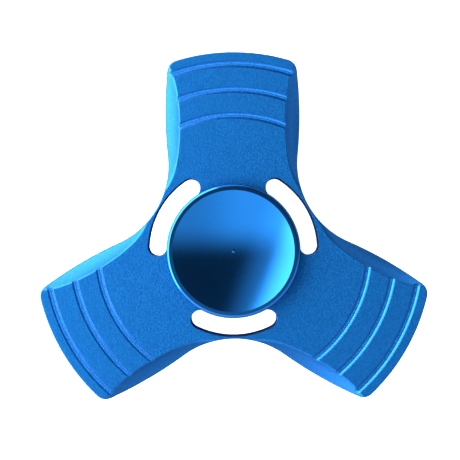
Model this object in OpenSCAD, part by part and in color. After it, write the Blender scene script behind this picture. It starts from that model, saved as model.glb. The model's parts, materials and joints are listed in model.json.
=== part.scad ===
// Three-armed fidget spinner: a milled aluminium body that turns on a ball bearing
// between two dished finger caps, which screw together through the bearing's bore.
// All sizes are millimetres. The origin is on the spin axis, halfway through the body's
// thickness. +Z is the spin axis and points out of the front cap; one arm points along +Y.

/* [Body] */
// Radius of the arms' end faces, measured from the spin axis
tip_r = 31; // [30:0.5:32]
// Thickness of the body
body_t = 7; // [6.8:0.1:7.4]
// Half of an arm's width where it is widest
arm_half_w = 10.55; // [10.45:0.01:10.65]
// Distance from the spin axis to the place where an arm is widest
arm_bulge_y = 21.3; // [21:0.1:21.6]
// Radius of the slight bow of an arm's side
arm_side_r = 56; // [54:1:66]
// Radius of the hub at the waist between two arms
waist_r = 13.68; // [13.65:0.01:13.8]
// Radius of the corners of an arm's end
tip_corner_r = 2; // [1.6:0.1:2.2]

/* [Side scoops] */
// Radius of the scoop's round cross-section
scoop_r = 6; // [5.8:0.1:6.2]
// Radius of the path that the scoop's cross-section follows along the arm
scoop_path_r = 15; // [14:0.5:16]
// Distance from the arm's centre line to the scoop's path
scoop_x = 13.77; // [13.6:0.01:14]
// Distance from the spin axis to the scoop's deepest place
scoop_y = 19.7; // [19:0.1:20.5]
// Height of the scoop's path above the face of the body, where it is deepest
scoop_h = 2.42; // [2.3:0.01:2.6]

/* [Face grooves] */
// Number of grooves on each face of an arm
groove_count = 3; // [1:1:4]
// Radius of the outermost groove about the spin axis
groove_outer_r = 29.1; // [28.8:0.1:29.2]
// Distance from one groove to the next
groove_step = 4; // [3.6:0.1:4.2]
// Width of a groove at the face
groove_w = 1; // [0.8:0.1:1.2]
// Depth of a groove
groove_depth = 0.25; // [0.2:0.05:0.4]

/* [Hub slots] */
// Radius of the slots' centre line about the spin axis
slot_r = 11.84; // [11.75:0.01:11.85]
// Width of a slot
slot_w = 2.96; // [2.6:0.02:2.96]
// Angle from the middle of a slot to the centre of its round end, in degrees
slot_half_angle = 26.2; // [20:0.2:28]

/* [Bearing] */
// Bearing bore diameter
bearing_bore_d = 6.35; // [6.35]
// Bearing outside diameter
bearing_od = 12.7; // [12.7]
// Bearing width
bearing_w = 4.762; // [4.762]
// Ball diameter
ball_d = 1.984; // [1.95:0.002:1.99]
// Number of balls
ball_count = 10; // [8:1:10]
// Radial gap between a ball and each raceway
ball_play = 0.01; // [0.01:0.005:0.02]
// Outside radius of the inner ring's shoulders
inner_land_r = 4.05; // [4:0.01:4.1]
// Inside radius of the outer ring's shoulders
outer_land_r = 5.45; // [5.4:0.01:5.5]
// Break on the rings' corners
ring_chamfer = 0.15; // [0.1:0.05:0.2]
// Thickness of a shield
shield_t = 0.2; // [0.15:0.05:0.2]

/* [Finger caps] */
// Radius of a cap
cap_r = 10.35; // [10.3:0.05:10.4]
// Radius of the dished finger rest
dish_r = 9.43; // [9.4:0.01:9.6]
// Depth of the dish at its centre
dish_depth = 1.3; // [1:0.1:1.5]
// Height of a cap's rim above the body's face
cap_proud = 3; // [2.6:0.1:3.4]
// Gap between a cap and the body's face
cap_gap = 0.5; // [0.4:0.05:0.7]
// Rounding of the rim's outer edge
rim_round = 0.45; // [0.3:0.05:0.5]
// Diameter of the thread that joins the caps
thread_d = 4; // [3.5:0.1:4]

/* [Hidden] */
$fn = 64;
ARMS = 3;
ARM_STEP = 360 / ARMS;
eps = 0.01;

// Bow of an arm's side: centre of the arc, with the arm along +Y and its side at +X.
side_c = [arm_half_w - arm_side_r, arm_bulge_y];
// Waist arc: its centre lies midway between two arms, at the distance that makes the arc
// touch both the waist radius and the arms' bowed sides.
side_gap = arm_side_r - waist_r;
waist_c_r = (side_gap ^ 2 - side_c.x ^ 2 - side_c.y ^ 2)
    / (2 * (-side_c.x * sin(60) - side_c.y * cos(60) - side_gap));
waist_c = waist_c_r * [sin(60), cos(60)];
waist_arc_r = waist_c_r - waist_r;
// Corner arc: tucked inside both the end face and the bowed side.
corner_c = meet([0, 0], tip_r - tip_corner_r, side_c, arm_side_r - tip_corner_r);

groove_cutter_r = (groove_w ^ 2 / 4 + groove_depth ^ 2) / (2 * groove_depth);

ball_r = ball_d / 2;
pitch_r = (bearing_bore_d + bearing_od) / 4;
raceway_r = 0.52 * ball_d;
shield_seat_z = 1.6;
shield_seat_r = 5.85;
clip_groove_r = 6;
clip_groove_w = 0.25;

face_z = body_t / 2;
rim_z = face_z + cap_proud;
under_z = face_z + cap_gap;
dish_sphere_r = (dish_r ^ 2 + dish_depth ^ 2) / (2 * dish_depth);
boss_r = 4;
stub_r = bearing_bore_d / 2 - 0.01;
stub_end_z = 0.15;
thread_clear = 0.05;
stud_top_z = 3.5;

function ball_name(i) = str("ball_", i < 10 ? "0" : "", i);

// The crossing of two circles that lies further along +X.
function meet(c0, r0, c1, r1) =
    let (d = norm(c1 - c0),
         along = (r0 ^ 2 - r1 ^ 2 + d ^ 2) / (2 * d),
         off = sqrt(r0 ^ 2 - along ^ 2),
         u = (c1 - c0) / d,
         p = c0 + along * u,
         a = p + off * [u.y, -u.x],
         b = p - off * [u.y, -u.x])
    a.x > b.x ? a : b;

function angle_of(v) = atan2(v.y, v.x);

// Points of an arc from angle a0 to a1, without its last point.
function arc(c, r, a0, a1, steps) =
    [for (i = [0:steps - 1]) let (a = a0 + (a1 - a0) * i / steps) c + r * [cos(a), sin(a)]];

// Half of an arm's outline, from its end's middle round to the waist, with the arm along +Y.
function half_arm() =
    let (corner_a = angle_of(corner_c),
         side_a0 = angle_of(corner_c - side_c),
         side_a1 = angle_of(waist_c - side_c),
         waist_a0 = side_a1 + 180)
    concat(
        arc([0, 0], tip_r, 90, corner_a, 6),
        arc(corner_c, tip_corner_r, corner_a, side_a0, 5),
        arc(side_c, arm_side_r, side_a0, side_a1, 8),
        arc(waist_c, waist_arc_r, waist_a0, 210, 8),
        [waist_r * [cos(30), sin(30)]]);

function turned(p, a) = [p.x * cos(a) - p.y * sin(a), p.x * sin(a) + p.y * cos(a)];

// The whole outline: each arm's mirrored half followed by its own half.
function outline() =
    let (half = half_arm(), n = len(half))
    [for (k = [0:ARMS - 1]) each concat(
        [for (i = [n - 1:-1:1]) turned([-half[i].x, half[i].y], -ARM_STEP * k)],
        [for (i = [0:n - 2]) turned(half[i], -ARM_STEP * k)])];

module at_arms() {
    for (k = [0:ARMS - 1]) rotate(ARM_STEP * k) children();
}

module on_both_faces() {
    children();
    mirror([0, 0, 1]) children();
}

// Ball-nosed cut that hollows an arm's side, from one face.
module scoop_cut() {
    translate([scoop_x, scoop_y, face_z + scoop_h + scoop_path_r])
        rotate([0, 90, 0])
            rotate_extrude($fn = 96) translate([scoop_path_r, 0]) circle(r = scoop_r);
}

// Round-bottomed groove across an arm's face, centred on the spin axis.
module groove_cut(r) {
    half = asin(arm_half_w / r) + 2;
    translate([0, 0, face_z - groove_depth + groove_cutter_r])
        rotate(90 - half)
            rotate_extrude(angle = 2 * half, $fn = 256)
                translate([r, 0]) circle(r = groove_cutter_r, $fn = 16);
}

// Arc-shaped slot through the hub, centred on the waist at 30 degrees.
module slot_cut() {
    half_w = slot_w / 2;
    a0 = 30 - slot_half_angle;
    a1 = 30 + slot_half_angle;
    linear_extrude(body_t + 1, center = true) polygon(concat(
        arc([0, 0], slot_r + half_w, a0, a1, 16),
        arc(slot_r * [cos(a1), sin(a1)], half_w, a1, a1 + 180, 12),
        arc([0, 0], slot_r - half_w, a1, a0, 16),
        arc(slot_r * [cos(a0), sin(a0)], half_w, a0 + 180, a0 + 360, 12)));
}

module body() {
    bore_r = bearing_od / 2;
    bore_break = 0.4;
    color("dodgerblue") difference() {
        translate([0, 0, -face_z]) linear_extrude(body_t) polygon(outline());
        cylinder(r = bore_r, h = body_t + 1, center = true);
        on_both_faces() translate([0, 0, face_z - bore_break])
            cylinder(r1 = bore_r, r2 = bore_r + bore_break + eps, h = bore_break + eps);
        at_arms() slot_cut();
        at_arms() on_both_faces() {
            scoop_cut();
            mirror([1, 0, 0]) scoop_cut();
            for (i = [0:groove_count - 1]) groove_cut(groove_outer_r - groove_step * i);
        }
    }
}

// Ring with broken corners, revolved about the spin axis.
module ring(r0, r1, half_h, c0, c1) {
    rotate_extrude($fn = 96) polygon([
        [r0, -half_h + c0], [r0 + c0, -half_h], [r1 - c1, -half_h], [r1, -half_h + c1],
        [r1, half_h - c1], [r1 - c1, half_h], [r0 + c0, half_h], [r0, half_h - c0]]);
}

module raceway(r) {
    rotate_extrude($fn = 96) translate([r, 0]) circle(r = raceway_r, $fn = 48);
}

module bearing_outer_ring() {
    half = bearing_w / 2;
    color("silver") difference() {
        ring(outer_land_r, bearing_od / 2, half, 0, ring_chamfer);
        raceway(pitch_r + ball_r + ball_play - raceway_r);
        on_both_faces() {
            translate([0, 0, shield_seat_z]) cylinder(r = shield_seat_r, h = half);
            translate([0, 0, shield_seat_z + shield_t])
                cylinder(r = clip_groove_r, h = clip_groove_w);
        }
    }
}

module bearing_inner_ring() {
    color("silver") difference() {
        ring(bearing_bore_d / 2, inner_land_r, bearing_w / 2, ring_chamfer, ring_chamfer);
        raceway(pitch_r - ball_r - ball_play + raceway_r);
    }
}

module ball(i) {
    color("gainsboro") rotate((i - 1) * 360 / ball_count)
        translate([pitch_r, 0, 0]) sphere(d = ball_d, $fn = 32);
}

// Crown cage: a band whose round pockets hold the balls apart.
module ball_cage() {
    pocket_r = ball_r + 0.06;
    low_z = -0.45;
    top_z = 1.45;
    color("goldenrod") difference() {
        translate([0, 0, low_z]) difference() {
            cylinder(r = pitch_r + 0.4, h = top_z - low_z, $fn = 96);
            translate([0, 0, -1]) cylinder(r = pitch_r - 0.4, h = top_z - low_z + 2, $fn = 96);
        }
        for (i = [1:ball_count])
            rotate((i - 1) * 360 / ball_count) translate([pitch_r, 0, 0])
                sphere(r = pocket_r, $fn = 32);
    }
}

// Thin washer that closes the gap between the rings, on the front side.
module shield() {
    color("lightgray") translate([0, 0, shield_seat_z]) difference() {
        cylinder(r = shield_seat_r - 0.01, h = shield_t, $fn = 96);
        translate([0, 0, -1]) cylinder(r = inner_land_r + 0.15, h = shield_t + 2, $fn = 96);
    }
}

// Split ring that snaps into the outer ring's groove and holds the shield.
module shield_clip() {
    gap_angle = 24;
    inside_r = clip_groove_r - 0.5;
    color("gray") translate([0, 0, shield_seat_z + shield_t]) rotate(90 + gap_angle / 2)
        rotate_extrude(angle = 360 - gap_angle, $fn = 96)
            translate([inside_r, 0]) square([clip_groove_r - 0.02 - inside_r, shield_t]);
}

module shield_front() { shield(); }

module shield_back() { mirror([0, 0, 1]) shield(); }

module shield_clip_front() { shield_clip(); }

module shield_clip_back() { mirror([0, 0, 1]) shield_clip(); }

// Dished cap with a boss that bears on the inner ring and a stub that fills its bore.
module cap() {
    edge_break = 0.2;
    difference() {
        rotate_extrude($fn = 128) union() {
            polygon([
                [0, stub_end_z], [stub_r, stub_end_z], [stub_r, bearing_w / 2],
                [boss_r, bearing_w / 2], [boss_r, under_z], [cap_r - edge_break, under_z],
                [cap_r, under_z + edge_break], [cap_r, rim_z - rim_round],
                [cap_r - rim_round, rim_z - rim_round], [cap_r - rim_round, rim_z], [0, rim_z]]);
            intersection() {
                translate([cap_r - rim_round, rim_z - rim_round]) circle(r = rim_round);
                translate([cap_r - rim_round, rim_z - rim_round]) square(rim_round);
            }
        }
        translate([0, 0, rim_z - dish_depth + dish_sphere_r])
            sphere(r = dish_sphere_r, $fn = 200);
    }
}

module cap_front() {
    color("dodgerblue") difference() {
        cap();
        translate([0, 0, -eps]) cylinder(d = thread_d, h = stud_top_z + 0.3);
    }
}

module cap_back() {
    color("dodgerblue") {
        mirror([0, 0, 1]) cap();
        translate([0, 0, -stub_end_z - eps])
            cylinder(d = thread_d - 2 * thread_clear, h = stud_top_z + stub_end_z + eps);
    }
}

body();
bearing_outer_ring();
bearing_inner_ring();
ball_cage();
for (i = [1:ball_count]) ball(i);
shield_front();
shield_back();
shield_clip_front();
shield_clip_back();
cap_front();
cap_back();
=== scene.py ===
"""Looks of the three-armed fidget spinner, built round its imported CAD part.

The body and the two finger caps get finer meshes with broken edges in place of their CAD
solids; the bearing's parts keep their CAD shapes. Sizes are millimetres unless a name or
comment says otherwise, and become metres when a mesh is made.
"""
import json
import math

import bpy
import numpy as np
from mathutils import Matrix, Vector, geometry


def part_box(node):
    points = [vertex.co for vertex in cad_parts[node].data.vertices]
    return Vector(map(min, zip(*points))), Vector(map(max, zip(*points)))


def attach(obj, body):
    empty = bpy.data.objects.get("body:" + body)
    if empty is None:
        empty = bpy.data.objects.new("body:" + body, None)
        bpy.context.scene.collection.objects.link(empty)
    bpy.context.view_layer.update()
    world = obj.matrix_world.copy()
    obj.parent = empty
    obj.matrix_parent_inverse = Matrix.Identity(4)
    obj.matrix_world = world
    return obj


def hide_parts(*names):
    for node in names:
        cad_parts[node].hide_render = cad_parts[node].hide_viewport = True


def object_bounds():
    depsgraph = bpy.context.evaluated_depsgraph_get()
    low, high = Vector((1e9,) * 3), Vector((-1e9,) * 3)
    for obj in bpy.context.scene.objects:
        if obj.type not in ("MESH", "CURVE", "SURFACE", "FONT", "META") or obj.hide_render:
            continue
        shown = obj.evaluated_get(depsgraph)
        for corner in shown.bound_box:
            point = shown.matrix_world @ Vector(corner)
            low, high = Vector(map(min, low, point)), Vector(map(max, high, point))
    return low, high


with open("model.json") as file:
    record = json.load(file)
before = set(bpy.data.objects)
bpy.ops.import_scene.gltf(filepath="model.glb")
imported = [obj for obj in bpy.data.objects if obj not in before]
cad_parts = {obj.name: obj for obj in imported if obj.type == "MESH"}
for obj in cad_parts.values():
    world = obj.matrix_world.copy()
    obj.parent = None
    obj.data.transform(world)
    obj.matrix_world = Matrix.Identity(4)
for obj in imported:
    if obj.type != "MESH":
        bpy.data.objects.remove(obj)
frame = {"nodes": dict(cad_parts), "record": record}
cad_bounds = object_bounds()

MM = 0.001

# ---------------------------------------------------------------- sizes
# From the frame.
BODY_HI = np.array(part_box("body")[1]) / MM
CAP_HI = np.array(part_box("cap_front")[1]) / MM
RING_HI = np.array(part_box("bearing_outer_ring")[1]) / MM
INNER_HI = np.array(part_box("bearing_inner_ring")[1]) / MM
FACE_Z = BODY_HI[2]
TIP_R = BODY_HI[1]
RIM_Z = CAP_HI[2]
CAP_R = CAP_HI[0]
BORE_R = RING_HI[0]
BEARING_Z = INNER_HI[2]

# The body's outline and cuts, as in the CAD part.
ARM_HALF_W = 10.55
ARM_BULGE_Y = 21.3
ARM_SIDE_R = 56.0
WAIST_R = 13.68
CORNER_R = 2.0
SCOOP_R = 6.0
SCOOP_PATH_R = 15.0
SCOOP_X = 13.77
SCOOP_Y = 19.7
SCOOP_H = 2.42
GROOVE_OUTER_R = 29.1
GROOVE_STEP = 4.0
GROOVE_COUNT = 3
GROOVE_W = 1.0
GROOVE_DEPTH = 0.25
SLOT_R = 11.84
SLOT_W = 2.96
SLOT_HALF_ANGLE = 26.2
BORE_BREAK = 0.4

# The caps, as in the CAD part.
DISH_R = 9.43
DISH_DEPTH = 1.3
CAP_GAP = 0.5
RIM_ROUND = 0.45
UNDER_BREAK = 0.2
BOSS_R = 4.0
STUB_R = 3.165
STUB_END_Z = 0.15
THREAD_R = 2.0
STUD_R = 1.95
STUD_TOP_Z = 3.5
HOLE_TOP_Z = 3.8

# Finer detail than the CAD part carries.
EDGE_ROUND = 0.2
SLOT_ROUND = 0.08
SCOOP_BLEND = 0.3
GROOVE_BLEND = 0.04
PIP_R = 0.3
PIP_H = 0.03

# Mesh fineness.
FILL_STEP = 0.36
ROW_STEP = 0.2
ARC_STEP = 0.3
LATHE_STEPS = 192

ARMS = 3
WAIST_ANGLE = 90 - 180 / ARMS


# ---------------------------------------------------------------- plane geometry
def angle_of(v):
    return math.degrees(math.atan2(v[1], v[0]))


def polar(r, a):
    return np.array([r * math.cos(math.radians(a)), r * math.sin(math.radians(a))])


def arc(c, r, a0, a1, step=ARC_STEP):
    """Points of an arc from angle a0 to a1, both ends included."""
    n = max(2, math.ceil(abs(math.radians(a1 - a0)) * r / step))
    return [np.asarray(c) + polar(r, a0 + (a1 - a0) * i / n) for i in range(n + 1)]


def meet(c0, r0, c1, r1):
    """The crossing of two circles that lies further along +X."""
    c0, c1 = np.asarray(c0, float), np.asarray(c1, float)
    d = np.linalg.norm(c1 - c0)
    along = (r0**2 - r1**2 + d**2) / (2 * d)
    off = math.sqrt(r0**2 - along**2)
    u = (c1 - c0) / d
    side = np.array([-u[1], u[0]])
    return max((c0 + along * u + s * off * side for s in (1, -1)), key=lambda p: p[0])


SIDE_C = np.array([ARM_HALF_W - ARM_SIDE_R, ARM_BULGE_Y])
SIDE_GAP = ARM_SIDE_R - WAIST_R
WAIST_DIR = polar(1, WAIST_ANGLE)
WAIST_C_R = (SIDE_GAP**2 - SIDE_C @ SIDE_C) / (-2 * (SIDE_C @ WAIST_DIR + SIDE_GAP))
WAIST_C = WAIST_C_R * WAIST_DIR
WAIST_ARC_R = WAIST_C_R - WAIST_R
CORNER_C = meet((0, 0), TIP_R - CORNER_R, SIDE_C, ARM_SIDE_R - CORNER_R)
CORNER_ANGLE = angle_of(CORNER_C)
SIDE_ANGLE_0 = angle_of(CORNER_C - SIDE_C)
SIDE_ANGLE_1 = angle_of(WAIST_C - SIDE_C)
SLOT_END_ANGLE = WAIST_ANGLE + SLOT_HALF_ANGLE
SLOT_END = polar(SLOT_R, SLOT_END_ANGLE)


def outline(inset):
    """Half of an arm's outline, from its end's middle round to the waist."""
    return (
        arc((0, 0), TIP_R - inset, 90, CORNER_ANGLE)[:-1]
        + arc(CORNER_C, CORNER_R - inset, CORNER_ANGLE, SIDE_ANGLE_0)[:-1]
        + arc(SIDE_C, ARM_SIDE_R - inset, SIDE_ANGLE_0, SIDE_ANGLE_1)[:-1]
        + arc(WAIST_C, WAIST_ARC_R + inset, SIDE_ANGLE_1 + 180, 180 + WAIST_ANGLE)
    )


def half_slot(offset):
    """Half of a slot's edge, from the waist's ray round its end and back."""
    half_w = SLOT_W / 2 + offset
    return (
        arc((0, 0), SLOT_R + half_w, WAIST_ANGLE, SLOT_END_ANGLE)[:-1]
        + arc(SLOT_END, half_w, SLOT_END_ANGLE, SLOT_END_ANGLE + 180)[:-1]
        + arc((0, 0), SLOT_R - half_w, SLOT_END_ANGLE, WAIST_ANGLE)
    )


def unit(v):
    return v / np.linalg.norm(v)


def outline_normal(p):
    if angle_of(p) >= CORNER_ANGLE:
        return unit(p)
    if angle_of(p - CORNER_C) >= SIDE_ANGLE_0:
        return unit(p - CORNER_C)
    if angle_of(p - SIDE_C) >= SIDE_ANGLE_1:
        return unit(p - SIDE_C)
    return unit(WAIST_C - p)


def slot_normal(p):
    if angle_of(p) > SLOT_END_ANGLE:
        return unit(SLOT_END - p)
    return unit(p) if np.linalg.norm(p) < SLOT_R else -unit(p)


def bore_normal(p):
    return -unit(p)


# ---------------------------------------------------------------- the body's face
GROOVES = [GROOVE_OUTER_R - GROOVE_STEP * i for i in range(GROOVE_COUNT)]
GROOVE_CUTTER_R = (GROOVE_W**2 / 4 + GROOVE_DEPTH**2) / (2 * GROOVE_DEPTH)
CLEAR_OF_FACE = 5.0


def smooth_min(a, b, k):
    return np.minimum(a, b) - np.maximum(k - np.abs(a - b), 0) ** 2 / (4 * k)


def scoop_z(x, y):
    across = SCOOP_R**2 - (x - SCOOP_X) ** 2
    reach = SCOOP_PATH_R + np.sqrt(np.maximum(across, 0))
    under = reach**2 - (y - SCOOP_Y) ** 2
    z = FACE_Z + SCOOP_H + SCOOP_PATH_R - np.sqrt(np.maximum(under, 0))
    return np.where((across > 0) & (under > 0), z, FACE_Z + CLEAR_OF_FACE)


def face_height(x, y):
    """Height of the body's front face: the flat, its grooves and the side scoop."""
    z = np.full_like(x, FACE_Z)
    rho = np.hypot(x, y)
    for r in GROOVES:
        room = GROOVE_CUTTER_R**2 - (rho - r) ** 2
        cut = FACE_Z + GROOVE_CUTTER_R - GROOVE_DEPTH - np.sqrt(np.maximum(room, 0))
        z = smooth_min(z, np.where(room > 0, cut, FACE_Z + CLEAR_OF_FACE), GROOVE_BLEND)
    return smooth_min(z, scoop_z(x, y), SCOOP_BLEND)


def face_slope(x, y, h=1e-4):
    return (
        (face_height(x + h, y) - face_height(x - h, y)) / (2 * h),
        (face_height(x, y + h) - face_height(x, y - h)) / (2 * h),
    )


def inside(points, ring):
    """Which points lie in a closed ring, by the even-odd rule."""
    x, y = points[:, 0], points[:, 1]
    hit = np.zeros(len(points), bool)
    for (x0, y0), (x1, y1) in zip(ring, np.roll(ring, -1, axis=0)):
        if y0 != y1:
            crosses = ((y0 > y) != (y1 > y)) & (x < (x1 - x0) * (y - y0) / (y1 - y0) + x0)
            hit ^= crosses
    return hit


def crease_rows():
    """Rows of points beside the edge where the scoop leaves the flat face."""
    lift = SCOOP_PATH_R + SCOOP_H
    half = math.sqrt((SCOOP_PATH_R + SCOOP_R) ** 2 - lift**2)
    n = math.ceil(2 * half / (ROW_STEP * 0.8))
    y = SCOOP_Y + half * np.linspace(-0.999, 0.999, n)
    x = SCOOP_X - np.sqrt(SCOOP_R**2 - (np.hypot(lift, y - SCOOP_Y) - SCOOP_PATH_R) ** 2)
    t = np.stack([np.gradient(x), np.gradient(y)], 1)
    t /= np.linalg.norm(t, axis=1)[:, None]
    into = np.stack([t[:, 1], -t[:, 0]], 1)
    offsets = (-0.3, -0.17, -0.1, -0.05, 0, 0.05, 0.1, 0.17, 0.3, 0.55)
    return [np.stack([x, y], 1) + o * into for o in offsets]


def groove_rows():
    """Rows of points along the grooves, from the arm's centre line into the scoop."""
    half = GROOVE_W / 2
    offsets = sorted(
        s * v for s in (1, -1) for v in (half + 0.1, half + 0.03, half - 0.03, 0.38, 0.24, 0.1)
    )
    rows = []
    for r in GROOVES:
        for o in offsets:
            row = np.array(arc((0, 0), r + o, 90, 60, ROW_STEP))
            sunk = scoop_z(row[:, 0], row[:, 1]) < FACE_Z - 4 * GROOVE_DEPTH
            rows.append(row[: np.argmax(sunk)] if sunk.any() else row)
    return rows


def face_patch():
    """Half an arm's front face as (points, triangles), between its centre line and the waist."""
    bore = arc((0, 0), BORE_R + BORE_BREAK, WAIST_ANGLE, 90, 4 * ARC_STEP)
    rim = outline(EDGE_ROUND)
    slot = half_slot(SLOT_ROUND)
    ring = np.array(bore + rim + slot)
    points = [ring]
    edges = [(i, (i + 1) % len(ring)) for i in range(len(ring))]
    count = len(ring)
    for row in crease_rows() + groove_rows():
        keep = inside(row, ring) | (np.abs(row[:, 0]) < 1e-6)
        runs = np.flatnonzero(keep)
        if len(runs) < 2:
            continue
        points.append(row[runs])
        edges += [
            (count + i, count + i + 1)
            for i in range(len(runs) - 1)
            if runs[i + 1] == runs[i] + 1
        ]
        count += len(runs)
    axis = np.arange(BORE_R + 1, TIP_R - 0.3, FILL_STEP)
    points.append(np.stack([np.zeros_like(axis), axis], 1))
    ray = np.arange(BORE_R + 1, SLOT_R - SLOT_W / 2 - 0.3, FILL_STEP)
    points.append(ray[:, None] * WAIST_DIR)

    fixed = np.concatenate(points)
    rows = np.arange(0, TIP_R, FILL_STEP * math.sqrt(0.75))
    columns = np.arange(0, ARM_HALF_W + 3, FILL_STEP)
    grid = np.array(
        [(x + FILL_STEP / 2 * (i % 2), y) for i, y in enumerate(rows) for x in columns]
    )
    grid = grid[inside(grid, ring)]
    gap = np.concatenate(
        [
            np.min(np.hypot(*(part[:, None] - fixed[None]).transpose(2, 0, 1)), axis=1)
            for part in np.array_split(grid, 12)
        ]
    )
    grid = grid[gap > 0.55 * FILL_STEP]
    every = [Vector(p) for p in np.concatenate([fixed, grid])]
    out = geometry.delaunay_2d_cdt(every, edges, [], 1, 1e-6)
    p = np.array([tuple(v) for v in out[0]])
    on_axis = np.abs(p[:, 0]) < 1e-4
    p[on_axis, 0] = 0
    side = p @ np.array([-WAIST_DIR[1], WAIST_DIR[0]])
    on_ray = np.abs(side) < 1e-4
    p[on_ray] = (p[on_ray] @ WAIST_DIR)[:, None] * WAIST_DIR
    triangles = np.array([f for f in out[2]])
    a, b, c = (p[triangles[:, i]] for i in range(3))
    area = np.cross(b - a, c - a)
    triangles = triangles[np.abs(area) > 1e-9]
    area = area[np.abs(area) > 1e-9]
    triangles[area < 0] = triangles[area < 0][:, ::-1]
    return p, triangles, on_axis, on_ray


def rim_profile(slope, radius, steps):
    """A rounded edge that starts along the surface and ends upright: (out, drop, a, b) rows,
    where (a, -b) is its direction in the plane of the edge's normal and +Z."""
    p1 = np.array([radius, -radius * slope])
    p2 = p1 - np.array([0, radius * math.hypot(1, slope)])
    rows = []
    for i in range(1, steps + 1):
        t = i / steps
        q = 2 * t * (1 - t) * p1 + t * t * p2
        d = unit(2 * (1 - t) * p1 + 2 * t * (p2 - p1))
        rows.append((q[0], q[1], d[0], -d[1]))
    return rows


def body_half():
    """Half an arm above the mid-plane: (vertices, normals, faces)."""
    p, triangles, on_axis, on_ray = face_patch()
    z = face_height(p[:, 0], p[:, 1])
    sx, sy = face_slope(p[:, 0], p[:, 1])
    normals = [unit(np.array([-u, -v, 1])) for u, v in zip(sx, sy)]
    vertices = [np.array([q[0], q[1], h]) for q, h in zip(p, z)]
    faces = [tuple(t) for t in triangles]

    directed = {(t[i], t[(i + 1) % 3]) for t in faces for i in range(3)}
    border = [
        (a, b)
        for a, b in directed
        if (b, a) not in directed
        and not (on_axis[a] and on_axis[b])
        and not (on_ray[a] and on_ray[b])
    ]
    border.sort()

    def kind(v):
        r = np.linalg.norm(p[v])
        if r < BORE_R + BORE_BREAK + 0.05:
            return bore_normal, BORE_BREAK, 3
        toward = abs(r - SLOT_R) if angle_of(p[v]) <= SLOT_END_ANGLE else (
            np.linalg.norm(p[v] - SLOT_END)
        )
        if toward < SLOT_W / 2 + 1.5 * SLOT_ROUND:
            return slot_normal, SLOT_ROUND, 3
        return outline_normal, EDGE_ROUND, 6

    chains = {}
    for v in sorted({v for edge in border for v in edge}):
        normal_of, radius, steps = kind(v)
        n = normal_of(p[v])
        t = np.array([-n[1], n[0]])
        along = sx[v] * t[0] + sy[v] * t[1]
        slope = -(sx[v] * n[0] + sy[v] * n[1])
        chain = [v]
        for out, drop, a, b in rim_profile(slope, radius, steps):
            flat = n * b - t * along * a
            chain.append(len(vertices))
            vertices.append(np.array([*(p[v] + n * out), z[v] + drop]))
            normals.append(unit(np.array([*flat, a])))
        chain.append(len(vertices))
        vertices.append(np.array([*vertices[-1][:2], 0.0]))
        normals.append(np.array([*n, 0.0]))
        chains[v] = chain
    for a, b in border:
        ca, cb = chains[a], chains[b]
        if len(ca) != len(cb):
            raise RuntimeError("the border of the face patch mixes two kinds of edge")
        for i in range(len(ca) - 1):
            faces.append((cb[i], ca[i], ca[i + 1], cb[i + 1]))
    return np.array(vertices), np.array(normals), faces


def body_mesh():
    """All of the body: the half arm mirrored, turned to each arm and mirrored to the back."""
    vertices, normals, faces = body_half()
    all_v, all_n, all_f = [], [], []
    for arm in range(ARMS):
        turn = np.array(Matrix.Rotation(2 * math.pi * arm / ARMS, 3, "Z"))
        for mirror_x in (1, -1):
            for mirror_z in (1, -1):
                flip = np.diag([mirror_x, 1, mirror_z])
                base = sum(len(v) for v in all_v)
                all_v.append(vertices @ flip @ turn.T)
                all_n.append(normals @ flip @ turn.T)
                step = mirror_x * mirror_z
                all_f += [tuple(base + i for i in f[::step]) for f in faces]
    v, n = np.concatenate(all_v), np.concatenate(all_n)
    _, first, merged = np.unique(
        np.round(v / 1e-3).astype(np.int64), axis=0, return_index=True, return_inverse=True
    )
    merged = merged.ravel()
    total = np.zeros((len(first), 3))
    np.add.at(total, merged, n)
    total /= np.linalg.norm(total, axis=1)[:, None]
    joined = []
    for f in all_f:
        g = list(dict.fromkeys(int(merged[i]) for i in f))
        if len(g) > 2:
            joined.append(g)
    mesh = bpy.data.meshes.new("body_shell")
    mesh.from_pydata((v[first] * MM).tolist(), [], joined)
    mesh.validate()
    mesh.shade_smooth()
    mesh.normals_split_custom_set_from_vertices(total.tolist())
    return mesh


# ---------------------------------------------------------------- the caps
def straight(r0, z0, r1, z1, material=0):
    """A straight stretch of a turned profile, with the normal on its outer side."""
    n = unit(np.array([-(z1 - z0), r1 - r0]))
    return [(r0, z0, *n), (r1, z1, *n)], material


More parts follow.
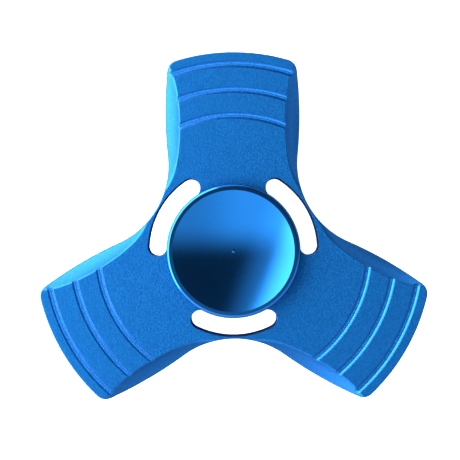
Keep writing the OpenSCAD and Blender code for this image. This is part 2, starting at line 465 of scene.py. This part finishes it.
def cap_profile(male):
    """A cap's turned profile from the dish's centre, round the rim and under to its bore."""
    sphere_r = (DISH_R**2 + DISH_DEPTH**2) / (2 * DISH_DEPTH)
    centre_z = RIM_Z - DISH_DEPTH + sphere_r
    radii = np.concatenate([np.linspace(0, PIP_R, 7), np.linspace(PIP_R, DISH_R, 40)[1:]])
    dish = []
    for r in radii:
        pip = PIP_H * (1 + math.cos(math.pi * min(r / PIP_R, 1))) / 2
        steep = -PIP_H * math.pi / (2 * PIP_R) * math.sin(math.pi * min(r / PIP_R, 1))
        lean = math.tan(math.asin(r / sphere_r)) + steep
        n = unit(np.array([-lean, 1]))
        dish.append((r, centre_z - math.sqrt(sphere_r**2 - r**2) + pip, *n))
    flat_r = CAP_R - RIM_ROUND
    edge = []
    for a in np.linspace(90, 0, 10):
        n = polar(1, a)
        edge.append((*(np.array([flat_r, RIM_Z - RIM_ROUND]) + RIM_ROUND * n), *n))
    under_z = FACE_Z + CAP_GAP
    corners = [
        (CAP_R, RIM_Z - RIM_ROUND),
        (CAP_R, under_z + UNDER_BREAK),
        (CAP_R - UNDER_BREAK, under_z),
        (BOSS_R, under_z),
        (BOSS_R, BEARING_Z),
        (STUB_R, BEARING_Z),
        (STUB_R, STUB_END_Z),
    ]
    if male:
        corners += [(STUD_R, STUB_END_Z), (STUD_R, -STUD_TOP_Z), (0, -STUD_TOP_Z)]
    else:
        corners += [(THREAD_R, STUB_END_Z), (THREAD_R, HOLE_TOP_Z), (0, HOLE_TOP_Z)]
    strokes = [(dish, 0), straight(DISH_R, RIM_Z, flat_r, RIM_Z, 1), (edge, 1)]
    strokes += [straight(*a, *b, 1) for a, b in zip(corners, corners[1:])]
    return strokes


def cap_mesh(name, male):
    """The profile turned about +Z; the back cap is the mirrored, threaded one."""
    rings, faces, materials, loop_normals = {}, [], [], []
    vertices = []
    flip = -1 if male else 1
    angles = np.linspace(0, 2 * math.pi, LATHE_STEPS, endpoint=False)

    def ring(r, z):
        key = (round(r, 5), round(z, 5))
        if key not in rings:
            start = len(vertices)
            spokes = angles if r > 1e-6 else angles[:1]
            vertices.extend((r * math.cos(a), r * math.sin(a), flip * z) for a in spokes)
            rings[key] = (start, len(spokes))
        return rings[key]

    for stroke, material in cap_profile(male):
        for (r0, z0, *n0), (r1, z1, *n1) in zip(stroke, stroke[1:]):
            (s0, c0), (s1, c1) = ring(r0, z0), ring(r1, z1)
            for k in range(LATHE_STEPS):
                j = (k + 1) % LATHE_STEPS
                corners = [(s0, c0, k, n0), (s1, c1, k, n1), (s1, c1, j, n1), (s0, c0, j, n0)]
                if c0 == 1:
                    corners.pop(3)
                if c1 == 1:
                    corners.pop(2)
                if male:
                    corners.reverse()
                faces.append([s + (i if c > 1 else 0) for s, c, i, _ in corners])
                materials.append(material)
                loop_normals += [
                    (n[0] * math.cos(angles[i]), n[0] * math.sin(angles[i]), flip * n[1])
                    for _, _, i, n in corners
                ]
    mesh = bpy.data.meshes.new(name)
    mesh.from_pydata([tuple(MM * c for c in v) for v in vertices], [], faces)
    mesh.shade_smooth()
    mesh.polygons.foreach_set("material_index", materials)
    mesh.normals_split_custom_set(loop_normals)
    return mesh


# ---------------------------------------------------------------- node helpers
def node(tree, kind, inputs=(), **settings):
    """A node with its settings, its inputs given as values or as sockets to join."""
    made = tree.nodes.new(kind)
    for key, value in settings.items():
        setattr(made, key, value)
    for key, value in dict(inputs).items():
        if isinstance(value, bpy.types.NodeSocket):
            tree.links.new(value, made.inputs[key])
        else:
            made.inputs[key].default_value = value
    return made


def calc(tree, operation, *values):
    return node(tree, "ShaderNodeMath", enumerate(values), operation=operation).outputs[0]


def smooth_range(tree, value, lo, hi, to_lo=0.0, to_hi=1.0):
    names = ("Value", "From Min", "From Max", "To Min", "To Max")
    return node(
        tree,
        "ShaderNodeMapRange",
        zip(names, (value, lo, hi, to_lo, to_hi)),
        interpolation_type="SMOOTHSTEP",
    ).outputs["Result"]


def blend_colours(tree, share, a, b):
    made = node(tree, "ShaderNodeMix", data_type="RGBA")
    for key, value in ((0, share), (6, a), (7, b)):
        if isinstance(value, bpy.types.NodeSocket):
            tree.links.new(value, made.inputs[key])
        else:
            made.inputs[key].default_value = value
    return made.outputs[2]


def new_material(name):
    material = bpy.data.materials.new(name)
    material.use_nodes = True
    tree = material.node_tree
    return material, tree, tree.nodes["Principled BSDF"]


def local_mm(tree):
    """Object coordinates in millimetres as (vector, x, y, z, distance from the axis)."""
    place = node(tree, "ShaderNodeTexCoord").outputs["Object"]
    scaled = node(
        tree, "ShaderNodeVectorMath", {0: place, "Scale": 1 / MM}, operation="SCALE"
    ).outputs[0]
    x, y, z = node(tree, "ShaderNodeSeparateXYZ", {0: scaled}).outputs
    rho = calc(tree, "SQRT", calc(tree, "ADD", calc(tree, "MULTIPLY", x, x), calc(
        tree, "MULTIPLY", y, y)))
    return scaled, x, y, z, rho


def noise(tree, vector, per_mm, detail=2.0):
    return node(
        tree, "ShaderNodeTexNoise", {"Vector": vector, "Scale": per_mm, "Detail": detail}
    ).outputs["Fac"]


def bump(tree, height, depth_mm):
    inputs = {"Height": height, "Distance": depth_mm * MM, "Strength": 1.0}
    return node(tree, "ShaderNodeBump", inputs).outputs["Normal"]


# ---------------------------------------------------------------- materials
# Colours are linear RGBA; depths and pitches are in millimetres.
ANODISED = (0.0095, 0.152, 0.510, 1)
ANODISED_DEEP = (0.0066, 0.112, 0.400, 1)
EDGE_TINT = (0.25, 0.5, 0.95, 1)
CUT_ROUGH = 0.38
BLASTED_ROUGH = 0.36
GROOVE_ROUGH = 0.28
BLASTED_METALLIC = 0.65  # the rest scatters light evenly
BLASTED_FACING = (0.975, 0.998)  # how squarely a face looks along the axis to be blasted
BLASTED_DARKER = 0.7
CUT_COAT = 0.18
GRAIN_PER_MM = 4.4
GRAIN_DEPTH = 0.055
GRAIN_SPREAD = (0.35, 0.65)
GRAIN_ROUGHNESS = 0.08
CHATTER_PITCH = 0.36
CHATTER_DEPTH = 0.014
CHATTER_EDGE = 0.1
CHATTER_BELOW_FACE = (0.35, 0.25)
CHATTER_START_R = (GROOVES[-1] - 1, GROOVES[-1] - 0.8)


def body_material():
    """Blue anodising: grainy blasted flats, and smoother cut scoops, grooves and edges."""
    material, tree, shader = new_material("body_anodised_blasted")
    place, x, y, z, rho = local_mm(tree)
    facing = node(tree, "ShaderNodeTexCoord").outputs["Normal"]
    up = calc(tree, "ABSOLUTE", node(tree, "ShaderNodeSeparateXYZ", {0: facing}).outputs[2])
    blasted = smooth_range(tree, up, *BLASTED_FACING)

    grain = noise(tree, place, GRAIN_PER_MM, 3.0)
    shade = smooth_range(tree, grain, *GRAIN_SPREAD)
    tree.links.new(
        smooth_range(tree, blasted, 0, 1, 1.0, BLASTED_METALLIC), shader.inputs["Metallic"]
    )
    shader.inputs["Specular IOR Level"].default_value = 0.0
    colour = blend_colours(tree, shade, ANODISED_DEEP, ANODISED)
    darker = node(
        tree,
        "ShaderNodeVectorMath",
        {0: colour, "Scale": smooth_range(tree, blasted, 0, 1, 1.0, BLASTED_DARKER)},
        operation="SCALE",
    ).outputs[0]
    tree.links.new(darker, shader.inputs["Base Color"])
    shader.inputs["Specular Tint"].default_value = EDGE_TINT
    tree.links.new(
        smooth_range(tree, blasted, 0, 1, CUT_COAT, 0.0), shader.inputs["Coat Weight"]
    )
    shader.inputs["Coat Roughness"].default_value = 0.3

    # Cutter chatter along the grooves.
    turn = calc(tree, "ARCTAN2", y, x)
    chatter = calc(tree, "SINE", calc(tree, "MULTIPLY", calc(
        tree, "MULTIPLY", turn, rho), 2 * math.pi / CHATTER_PITCH))
    groove_at = calc(tree, "PINGPONG", calc(
        tree, "SUBTRACT", rho, GROOVES[-1]), GROOVE_STEP / 2)
    in_groove = smooth_range(tree, groove_at, GROOVE_W / 2, GROOVE_W / 2 - CHATTER_EDGE)
    high = smooth_range(
        tree, calc(tree, "ABSOLUTE", z), *(FACE_Z - below for below in CHATTER_BELOW_FACE)
    )
    on_arm = smooth_range(tree, rho, *CHATTER_START_R)
    cutter_path = calc(tree, "MULTIPLY", in_groove, calc(tree, "MULTIPLY", high, on_arm))
    ticks = calc(tree, "MULTIPLY", chatter, cutter_path)

    cut_rough = smooth_range(tree, cutter_path, 0, 1, CUT_ROUGH, GROOVE_ROUGH)
    rough = calc(tree, "ADD", calc(tree, "MULTIPLY", blasted, BLASTED_ROUGH), calc(
        tree, "MULTIPLY", calc(tree, "SUBTRACT", 1.0, blasted), cut_rough))
    uneven = calc(tree, "MULTIPLY", calc(tree, "SUBTRACT", grain, 0.5), GRAIN_ROUGHNESS)
    tree.links.new(calc(tree, "ADD", rough, uneven), shader.inputs["Roughness"])

    grains = calc(tree, "MULTIPLY", calc(tree, "MULTIPLY", grain, blasted), GRAIN_DEPTH)
    height = calc(tree, "ADD", grains, calc(tree, "MULTIPLY", ticks, CHATTER_DEPTH))
    tree.links.new(bump(tree, height, 1.0), shader.inputs["Normal"])
    return material


def turned_material(name, roughness, line_depth, colour=ANODISED, coat=0.1):
    """Blue anodising over a lathe-turned surface, with fine rings about the spin axis."""
    material, tree, shader = new_material(name)
    place, _, _, _, rho = local_mm(tree)
    rings = node(
        tree,
        "ShaderNodeTexNoise",
        {"W": rho, "Scale": 9.0, "Detail": 3.0},
        noise_dimensions="1D",
    ).outputs["Fac"]
    cloud = noise(tree, place, 1.3)
    darker = tuple(0.93 * c for c in colour[:3]) + (1,)
    tree.links.new(blend_colours(tree, cloud, darker, colour), shader.inputs["Base Color"])
    shader.inputs["Metallic"].default_value = 1.0
    tree.links.new(
        smooth_range(tree, rings, 0.25, 0.75, roughness - 0.03, roughness + 0.03),
        shader.inputs["Roughness"],
    )
    shader.inputs["Specular Tint"].default_value = EDGE_TINT
    shader.inputs["Coat Weight"].default_value = coat
    shader.inputs["Coat Roughness"].default_value = roughness
    tree.links.new(bump(tree, rings, line_depth), shader.inputs["Normal"])
    return material


def bare_metal(name, colour, roughness, brushed):
    """Bare metal: fine rings where it is turned or ground, and faint cloudy wear."""
    material, tree, shader = new_material(name)
    place, _, _, _, rho = local_mm(tree)
    rings = node(
        tree,
        "ShaderNodeTexNoise",
        {"W": rho, "Scale": 14.0, "Detail": 4.0},
        noise_dimensions="1D",
    ).outputs["Fac"]
    cloud = noise(tree, place, 2.0, 4.0)
    worn = tuple(0.86 * c for c in colour) + (1,)
    tree.links.new(
        blend_colours(tree, cloud, worn, (*colour, 1)), shader.inputs["Base Color"]
    )
    shader.inputs["Metallic"].default_value = 1.0
    tree.links.new(
        smooth_range(tree, cloud, 0.3, 0.7, roughness, roughness + 0.1),
        shader.inputs["Roughness"],
    )
    tree.links.new(bump(tree, rings, brushed), shader.inputs["Normal"])
    return material


# ---------------------------------------------------------------- pieces
def add_piece(mesh, materials, replaced, body):
    piece = bpy.data.objects.new(mesh.name, mesh)
    bpy.context.scene.collection.objects.link(piece)
    for material in materials:
        mesh.materials.append(material)
    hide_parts(replaced)
    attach(piece, body)
    return piece


dish_metal = turned_material("cap_dish_satin", 0.12, 0.0004)
rim_metal = turned_material("cap_rim_polished", 0.13, 0.0003, coat=0.2)
add_piece(body_mesh(), [body_material()], "body", "rotor")
for side, male in (("front", False), ("back", True)):
    add_piece(
        cap_mesh(f"cap_{side}_shell", male),
        [dish_metal, rim_metal],
        f"cap_{side}",
        "hub",
    )

BARE = {
    "bearing_steel": bare_metal("bearing_steel_ground", (0.62, 0.63, 0.65), 0.16, 0.0005),
    "ball_steel": bare_metal("ball_steel_lapped", (0.74, 0.75, 0.77), 0.06, 0.0),
    "cage_brass": bare_metal("cage_brass_machined", (0.62, 0.42, 0.16), 0.28, 0.0008),
    "shield_steel": bare_metal("shield_steel_pressed", (0.52, 0.53, 0.55), 0.3, 0.0008),
    "clip_steel": bare_metal("clip_steel_strip", (0.36, 0.37, 0.39), 0.26, 0.0005),
}
for part in frame["record"]["subparts"]:
    metal = BARE.get(part["material_slot"])
    if metal:
        for place in frame["nodes"][part["node"]].material_slots:
            place.link = "OBJECT"
            place.material = metal

# ---------------------------------------------------------------- floor and backdrop
ROOM_R = 1.5  # metres


def room_surface(name, mesh):
    """A plain white surface that the camera sees and the metal doesn't reflect."""
    surface = bpy.data.objects.new(name, mesh)
    bpy.context.scene.collection.objects.link(surface)
    for rays in ("glossy", "diffuse", "transmission", "shadow"):
        setattr(surface, f"visible_{rays}", False)
    material, tree, shader = new_material(f"{name}_white")
    shader.inputs["Base Color"].default_value = (0.9, 0.9, 0.9, 1)
    shader.inputs["Roughness"].default_value = 1.0
    shader.inputs["Specular IOR Level"].default_value = 0.0
    shader.inputs["Emission Color"].default_value = (1, 1, 1, 1)
    shader.inputs["Emission Strength"].default_value = 1.0
    mesh.materials.append(material)


def disc(name, z, radius, steps=96):
    ring = [(*(radius * polar(1, 360 * i / steps)), z) for i in range(steps)]
    mesh = bpy.data.meshes.new(name)
    mesh.from_pydata(ring, [], [tuple(range(steps))])
    return mesh


def wall(name, z, radius, height, steps=96):
    foot = [(*(radius * polar(1, 360 * i / steps)), z) for i in range(steps)]
    head = [(x, y, z + height) for x, y, _ in foot]
    mesh = bpy.data.meshes.new(name)
    mesh.from_pydata(
        foot + head,
        [],
        [(i, (i + 1) % steps, steps + (i + 1) % steps, steps + i) for i in range(steps)],
    )
    return mesh


FLOOR_Z = cad_bounds[0][2]
room_surface("floor", disc("floor", FLOOR_Z, ROOM_R))
room_surface("backdrop", wall("backdrop", FLOOR_Z, ROOM_R, ROOM_R))

# ---------------------------------------------------------------- light
# Ranges in the room's light are of a direction's part toward south, east, west or up.
BASE = 0.09
SOUTH_PANEL = 1.75
SOUTH_EDGE = (-0.05, 0.25)
SOUTH_RISE = (-0.1, 0.9)
SOUTH_LOW_SHARE = 0.2
SOUTH_EAST_FADE = (-0.15, 0.35)
SOUTH_EAST_SHARE = 0.6
WEST_AZIMUTH = 160
WEST_SPILL = 0.7
WEST_SPILL_EDGE = (0.05, 0.3)
HORIZON_GLOW = 0.4
HORIZON_GLOW_RISE = (0.95, 0.3)
FLOOR_GLOW = 0.8
WEST_FLOOR_GLOW = 3.5
WEST_FLOOR_EDGE = (-0.2, 0.7)
FLOOR_UNDER = (-0.95, -0.3)
FLOOR_UNDER_SHARE = 0.03
HORIZON = (-0.02, 0.16)

SOFTBOX = 6.3
SOFTBOX_COLOUR = (1.15, 1.0, 0.92, 1)
SOFTBOX_AWAY = 110.0
SOFTBOX_W = 320.0
SOFTBOX_TOP = 400.0
SOFTBOX_FADE = 180.0  # height above which it fades out
SOFTBOX_FULL = 110.0  # height below which it dims toward its foot
SOFTBOX_FOOT = 0.5


def soft_room():
    """The studio room as a world light: a broad panel overhead to the south, some light
    spilling in from the west, and a dim north-east."""
    world = bpy.data.worlds.new("studio")
    bpy.context.scene.world = world
    world.use_nodes = True
    tree = world.node_tree
    background = tree.nodes["Background"]
    look = node(tree, "ShaderNodeTexCoord").outputs["Generated"]
    x, y, z = node(tree, "ShaderNodeSeparateXYZ", {0: look}).outputs

    def total(first, *others):
        for other in others:
            first = calc(tree, "ADD", first, other)
        return first

    def times(first, *others):
        for other in others:
            first = calc(tree, "MULTIPLY", first, other)
        return first

    west_dir = [float(c) for c in polar(1, WEST_AZIMUTH)]
    toward = total(times(x, west_dir[0]), times(y, west_dir[1]))
    south = times(
        smooth_range(tree, times(y, -1.0), *SOUTH_EDGE, 0.0, SOUTH_PANEL),
        smooth_range(tree, z, *SOUTH_RISE, SOUTH_LOW_SHARE, 1.0),
        smooth_range(tree, x, *SOUTH_EAST_FADE, 1.0, SOUTH_EAST_SHARE),
    )
    spill = smooth_range(tree, toward, *WEST_SPILL_EDGE, 0.0, WEST_SPILL)
    low = smooth_range(tree, z, *HORIZON_GLOW_RISE, 0.0, HORIZON_GLOW)
    above = total(south, spill, low, BASE)
    below = times(
        smooth_range(
            tree, toward, *WEST_FLOOR_EDGE, FLOOR_GLOW, FLOOR_GLOW + WEST_FLOOR_GLOW
        ),
        smooth_range(tree, z, *FLOOR_UNDER, FLOOR_UNDER_SHARE, 1.0),
    )
    is_up = smooth_range(tree, z, *HORIZON)
    strength = total(times(above, is_up), times(below, calc(tree, "SUBTRACT", 1.0, is_up)))
    tree.links.new(strength, background.inputs["Strength"])
    background.inputs["Color"].default_value = (1, 1, 1, 1)


def softbox():
    """A tall softbox close by in the west-north-west. It only adds light: what shines behind
    its faded top still comes through."""
    half, top = SOFTBOX_W / 2 * MM, SOFTBOX_TOP * MM
    corners = [(-half, 0, 0), (half, 0, 0), (half, 0, top), (-half, 0, top)]
    mesh = bpy.data.meshes.new("softbox")
    mesh.from_pydata(corners, [], [(0, 1, 2, 3)])
    box = bpy.data.objects.new("softbox", mesh)
    bpy.context.scene.collection.objects.link(box)
    box.location = (*(polar(SOFTBOX_AWAY, WEST_AZIMUTH) * MM), 0)
    box.rotation_euler = (0, 0, math.radians(WEST_AZIMUTH - 90))
    box.visible_camera = False
    material, tree, shader = new_material("softbox_glow")
    _, _, _, height, _ = local_mm(tree)
    strength = calc(
        tree,
        "MULTIPLY",
        smooth_range(tree, height, 0.0, SOFTBOX_FULL, SOFTBOX * SOFTBOX_FOOT, SOFTBOX),
        smooth_range(tree, height, SOFTBOX_FADE, SOFTBOX_TOP, 1.0, 0.0),
    )
    glow = node(tree, "ShaderNodeEmission", {"Color": SOFTBOX_COLOUR, "Strength": strength})
    clear = node(tree, "ShaderNodeBsdfTransparent")
    both = node(tree, "ShaderNodeAddShader", {0: glow.outputs[0], 1: clear.outputs[0]})
    tree.links.new(both.outputs[0], tree.nodes["Material Output"].inputs["Surface"])
    tree.nodes.remove(shader)
    mesh.materials.append(material)


soft_room()
softbox()

# ---------------------------------------------------------------- camera
CAMERA_HEIGHT = 300.0
CAMERA_ROLL = 0.44  # degrees
VIEW_W = 71.585  # width of the view at the height of the body's face
AIM = (-0.51, 3.27)  # the point of the face in the middle of the view
SENSOR_W = 36.0


def add_camera():
    data = bpy.data.cameras.new("camera")
    camera = bpy.data.objects.new("camera", data)
    bpy.context.scene.collection.objects.link(camera)
    target = Vector((*AIM, FACE_Z))
    eye = Vector((*AIM, CAMERA_HEIGHT))
    back = (eye - target).normalized()
    up = Vector((*polar(1, 90 - CAMERA_ROLL), 0))
    right = up.cross(back).normalized()
    axes = Matrix((right, back.cross(right), back)).transposed()
    camera.matrix_world = Matrix.Translation(eye * MM) @ axes.to_4x4()
    data.sensor_width = SENSOR_W
    data.lens = SENSOR_W * (eye - target).length / VIEW_W
    data.clip_start = 0.01
    data.clip_end = 10.0
    bpy.context.scene.camera = camera


add_camera()
bpy.context.scene.view_settings.view_transform = "Standard"
